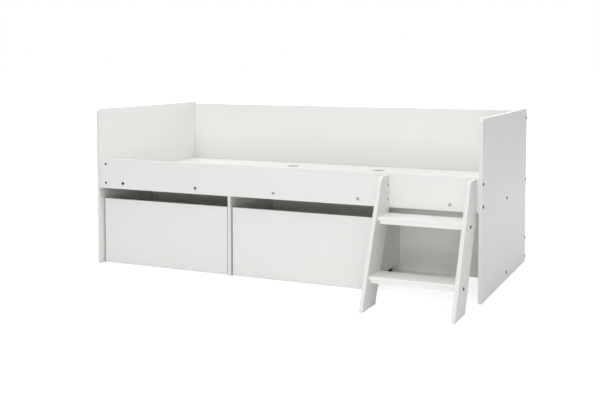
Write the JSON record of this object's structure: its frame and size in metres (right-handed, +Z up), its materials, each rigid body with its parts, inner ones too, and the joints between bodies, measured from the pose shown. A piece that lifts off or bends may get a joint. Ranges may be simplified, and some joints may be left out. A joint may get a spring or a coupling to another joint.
{
  "type": "cabin bed",
  "caption": "Low cabin bed of bolted white panels with a raised slab deck, drawers that roll on castors, an open storage bay and a leaning ladder on the front rail.",
  "frame": {"origin": "on the floor, under the middle of the whole outline, from the ladder's toes to the back of the end panels", "axes": "+X along the bed towards the ladder, +Y from the front to the back, +Z up"},
  "size_m": [2.0448, 1.2948, 0.81],
  "materials": {
    "panel": "satin white melamine facing on particle board, with matching edge band",
    "ledge": "planed, unfinished softwood",
    "fastener": "bright zinc plate",
    "bolt": "black zinc plate, satin",
    "nickel_fitting": "dull nickel plate",
    "castor_housing": "moulded black",
    "castor_wheel": "moulded dark grey, fine matt tread"
  },
  "bodies": {
    "bed_frame": {"end_panel_left": "panel", "end_panel_right": "panel", "front_rail": "panel", "back_panel": "panel", "rear_rail": "panel", "middle_panel": "panel", "divider": "panel", "front_ledge": "ledge", "rear_ledge": "ledge", "deck_board_left": "panel", "deck_board_right": "panel", "connector_bolts": "bolt", "cross_dowels": "nickel_fitting", "front_ledge_screws": "nickel_fitting", "rear_ledge_screws": "fastener", "stile_left": "panel", "stile_right": "panel", "tread_lower": "panel", "tread_upper": "panel", "batten_lower": "panel", "batten_upper": "panel", "step_bolts": "bolt", "tread_screws": "fastener", "tread_dowels": "ledge"},
    "lift_board_left": {"lift_board_left": "panel"},
    "lift_board_right": {"lift_board_right": "panel"},
    "drawer_1": {"drawer_1_front": "panel", "drawer_1_side_left": "panel", "drawer_1_side_right": "panel", "drawer_1_back": "panel", "drawer_1_bottom": "panel", "drawer_1_cams": "fastener", "drawer_1_cam_pins": "fastener", "drawer_1_box_screws": "fastener", "drawer_1_castor_housings": "castor_housing", "drawer_1_castor_axles": "fastener", "drawer_1_castor_screws": "fastener"},
    "drawer_1_wheel_front_left": {"drawer_1_wheel_front_left": "castor_wheel"},
    "drawer_1_wheel_front_right": {"drawer_1_wheel_front_right": "castor_wheel"},
    "drawer_1_wheel_rear_left": {"drawer_1_wheel_rear_left": "castor_wheel"},
    "drawer_1_wheel_rear_right": {"drawer_1_wheel_rear_right": "castor_wheel"},
    "drawer_2": {"drawer_2_front": "panel", "drawer_2_side_left": "panel", "drawer_2_side_right": "panel", "drawer_2_back": "panel", "drawer_2_bottom": "panel", "drawer_2_cams": "fastener", "drawer_2_cam_pins": "fastener", "drawer_2_box_screws": "fastener", "drawer_2_castor_housings": "castor_housing", "drawer_2_castor_axles": "fastener", "drawer_2_castor_screws": "fastener"},
    "drawer_2_wheel_front_left": {"drawer_2_wheel_front_left": "castor_wheel"},
    "drawer_2_wheel_front_right": {"drawer_2_wheel_front_right": "castor_wheel"},
    "drawer_2_wheel_rear_left": {"drawer_2_wheel_rear_left": "castor_wheel"},
    "drawer_2_wheel_rear_right": {"drawer_2_wheel_rear_right": "castor_wheel"}
  },
  "joints": [
    {"name": "lift_left", "type": "slide", "parent": "bed_frame", "child": "lift_board_left", "axis": [0, 0, 1], "range_m": [0, 0.35]},
    {"name": "lift_right", "type": "slide", "parent": "bed_frame", "child": "lift_board_right", "axis": [0, 0, 1], "range_m": [0, 0.35]},
    {"name": "drawer_1_slide", "type": "slide", "parent": "bed_frame", "child": "drawer_1", "axis": [0, -1, 0], "range_m": [0, 0.45]},
    {"name": "drawer_1_wheel_front_left_roll", "type": "hinge", "parent": "drawer_1", "child": "drawer_1_wheel_front_left", "pos_m": [-0.9455, -0.20058, 0.016], "axis": [1, 0, 0], "continuous": true},
    {"name": "drawer_1_wheel_front_right_roll", "type": "hinge", "parent": "drawer_1", "child": "drawer_1_wheel_front_right", "pos_m": [-0.3145, -0.20058, 0.016], "axis": [1, 0, 0], "continuous": true},
    {"name": "drawer_1_wheel_rear_left_roll", "type": "hinge", "parent": "drawer_1", "child": "drawer_1_wheel_rear_left", "pos_m": [-0.9455, 0.11012, 0.016], "axis": [1, 0, 0], "continuous": true},
    {"name": "drawer_1_wheel_rear_right_roll", "type": "hinge", "parent": "drawer_1", "child": "drawer_1_wheel_rear_right", "pos_m": [-0.3145, 0.11012, 0.016], "axis": [1, 0, 0], "continuous": true},
    {"name": "drawer_2_slide", "type": "slide", "parent": "bed_frame", "child": "drawer_2", "axis": [0, -1, 0], "range_m": [0, 0.45]},
    {"name": "drawer_2_wheel_front_left_roll", "type": "hinge", "parent": "drawer_2", "child": "drawer_2_wheel_front_left", "pos_m": [-0.1815, -0.20058, 0.016], "axis": [1, 0, 0], "continuous": true},
    {"name": "drawer_2_wheel_front_right_roll", "type": "hinge", "parent": "drawer_2", "child": "drawer_2_wheel_front_right", "pos_m": [0.4495, -0.20058, 0.016], "axis": [1, 0, 0], "continuous": true},
    {"name": "drawer_2_wheel_rear_left_roll", "type": "hinge", "parent": "drawer_2", "child": "drawer_2_wheel_rear_left", "pos_m": [-0.1815, 0.11012, 0.016], "axis": [1, 0, 0], "continuous": true},
    {"name": "drawer_2_wheel_rear_right_roll", "type": "hinge", "parent": "drawer_2", "child": "drawer_2_wheel_rear_right", "pos_m": [0.4495, 0.11012, 0.016], "axis": [1, 0, 0], "continuous": true}
  ],
  "couplings": [
    {"joint": "drawer_1_wheel_front_left_roll", "follows": "drawer_1_slide", "rad_per_m": 62.5},
    {"joint": "drawer_1_wheel_front_right_roll", "follows": "drawer_1_slide", "rad_per_m": 62.5},
    {"joint": "drawer_1_wheel_rear_left_roll", "follows": "drawer_1_slide", "rad_per_m": 62.5},
    {"joint": "drawer_1_wheel_rear_right_roll", "follows": "drawer_1_slide", "rad_per_m": 62.5},
    {"joint": "drawer_2_wheel_front_left_roll", "follows": "drawer_2_slide", "rad_per_m": 62.5},
    {"joint": "drawer_2_wheel_front_right_roll", "follows": "drawer_2_slide", "rad_per_m": 62.5},
    {"joint": "drawer_2_wheel_rear_left_roll", "follows": "drawer_2_slide", "rad_per_m": 62.5},
    {"joint": "drawer_2_wheel_rear_right_roll", "follows": "drawer_2_slide", "rad_per_m": 62.5}
  ]
}
